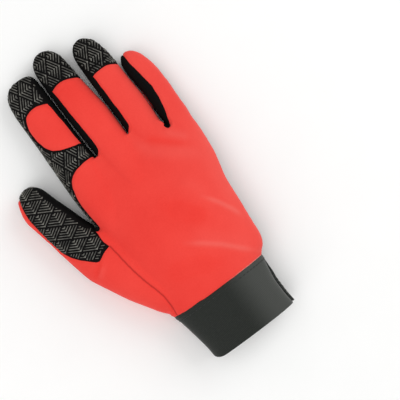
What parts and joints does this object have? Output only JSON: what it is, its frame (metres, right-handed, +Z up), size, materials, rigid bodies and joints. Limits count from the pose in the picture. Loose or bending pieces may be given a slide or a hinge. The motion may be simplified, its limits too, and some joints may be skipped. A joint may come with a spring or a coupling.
{
  "type": "work glove",
  "caption": "Right-hand work glove with a red stretch back, black grip-printed palm and fingertips, elastic cuff and hook-and-loop wrist strap.",
  "frame": {"origin": "middle of the glove's plan at the surface it lies on", "axes": "+Y from the cuff to the fingertips, +X toward the little finger (thumb on the -X side), +Z up through the back of the hand, palm down"},
  "size_m": [0.1412, 0.2496, 0.0362],
  "materials": {
    "red_stretch": "matte knit",
    "grip_leather": "matte with raised silicone lines",
    "side_leather": "matte",
    "cuff_elastic": "matte knit",
    "strap_webbing": "matte",
    "strap_rim": "satin",
    "strap_field": "gloss",
    "strap_anchor": "matte"
  },
  "bodies": {
    "root": {"back_panel": "red_stretch", "index_back_patch": "red_stretch", "thumb_back_panel": "red_stretch", "palm_panel": "grip_leather", "thumb_palm_panel": "grip_leather", "middle_tip_cap": "grip_leather", "ring_tip_cap": "grip_leather", "fourchette_index_middle": "side_leather", "fourchette_middle_ring": "side_leather", "fourchette_ring_little": "side_leather", "cuff": "cuff_elastic", "wrist_strap": "strap_webbing", "strap_rim": "strap_rim", "strap_field": "strap_field", "strap_anchor": "strap_anchor"}
  },
  "joints": []
}
